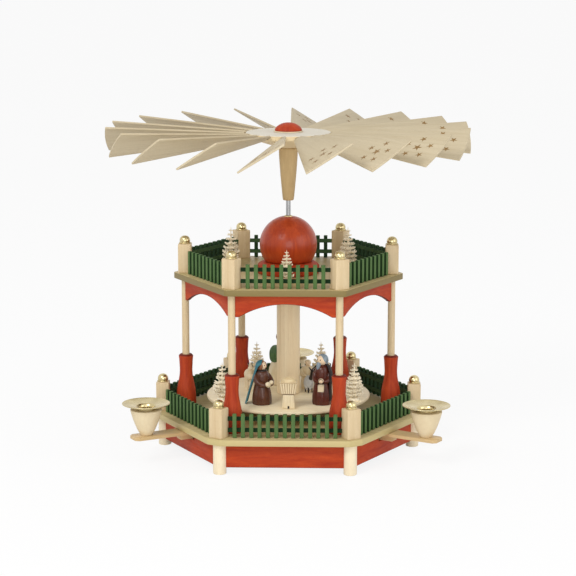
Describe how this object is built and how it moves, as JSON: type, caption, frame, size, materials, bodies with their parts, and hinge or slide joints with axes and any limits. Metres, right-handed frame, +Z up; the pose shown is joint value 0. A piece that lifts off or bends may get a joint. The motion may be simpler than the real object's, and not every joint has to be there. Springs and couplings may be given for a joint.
{
  "type": "candle carousel",
  "caption": "Wooden candle carousel: hexagonal fenced decks, a turntable with nativity figures, sliding candle arms with brass pans, and a vane rotor on its spindle",
  "frame": {"origin": "on the ground plane under the spindle, at the height of the feet", "axes": "+Z up along the spindle, -Y towards the front side of the hexagonal decks, +X to the right seen from the front"},
  "size_m": [0.3942, 0.3948, 0.3585],
  "materials": {
    "natural_wood": "clear satin varnish",
    "pale_wood": "bare, sanded",
    "deck_wood": "clear satin varnish",
    "red_stain": "red-brown stain, satin",
    "green_stain": "green stain, satin",
    "brass": "polished",
    "steel": "ground",
    "brown_robe": "brown stain, satin",
    "blue_veil": "blue-green stain, matte",
    "cream_dress": "cream lacquer",
    "green_wing": "green stain, matte",
    "wool_white": "white lacquer, matte"
  },
  "bodies": {
    "stand": {"lower_deck": "deck_wood", "upper_deck": "deck_wood", "skirting": "red_stain", "lower_fence": "green_stain", "upper_fence": "green_stain", "column_base_1": "red_stain", "column_base_2": "red_stain", "column_base_3": "red_stain", "column_base_4": "red_stain", "column_base_5": "red_stain", "column_base_6": "red_stain", "arcade": "red_stain", "ball_base": "red_stain", "ball": "red_stain", "spindle_bush": "brass", "bearing_cup": "brass"},
    "carousel": {"spindle": "steel", "turntable": "pale_wood", "centre_column": "natural_wood", "hub_handle": "natural_wood", "rotor_hub": "pale_wood", "hub_cap": "red_stain", "rotor_blade_01": "pale_wood", "rotor_blade_02": "pale_wood", "rotor_blade_03": "pale_wood", "rotor_blade_04": "pale_wood", "rotor_blade_05": "pale_wood", "rotor_blade_06": "pale_wood", "rotor_blade_07": "pale_wood", "rotor_blade_08": "pale_wood", "rotor_blade_09": "pale_wood", "rotor_blade_10": "pale_wood", "rotor_blade_11": "pale_wood", "rotor_blade_12": "pale_wood", "rotor_blade_13": "pale_wood", "rotor_blade_14": "pale_wood", "rotor_blade_15": "pale_wood", "rotor_blade_16": "pale_wood", "rotor_blade_17": "pale_wood", "rotor_blade_18": "pale_wood", "mother": "brown_robe", "mother_veil": "blue_veil", "father": "brown_robe", "father_lantern": "pale_wood", "manger": "pale_wood", "angel": "cream_dress", "angel_wings": "green_wing", "shepherd": "cream_dress", "lamb": "wool_white", "donkey": "pale_wood"},
    "candle_arm_back": {"candle_arm_1": "natural_wood", "candle_cup_1": "natural_wood", "drip_pan_1": "brass"},
    "candle_arm_left": {"candle_arm_2": "natural_wood", "candle_cup_2": "natural_wood", "drip_pan_2": "brass"},
    "candle_arm_right": {"candle_arm_3": "natural_wood", "candle_cup_3": "natural_wood", "drip_pan_3": "brass"}
  },
  "joints": [
    {"name": "carousel_spin", "type": "hinge", "parent": "stand", "child": "carousel", "pos_m": [0, 0, 0.0417], "axis": [0, 0, 1], "continuous": true},
    {"name": "candle_arm_back_slide", "type": "slide", "parent": "stand", "child": "candle_arm_back", "axis": [0, 1, 0], "range_m": [-0.02, 0.03]},
    {"name": "candle_arm_left_slide", "type": "slide", "parent": "stand", "child": "candle_arm_left", "axis": [-0.866, -0.5, 0], "range_m": [-0.02, 0.03]},
    {"name": "candle_arm_right_slide", "type": "slide", "parent": "stand", "child": "candle_arm_right", "axis": [0.866, -0.5, 0], "range_m": [-0.02, 0.03]}
  ]
}
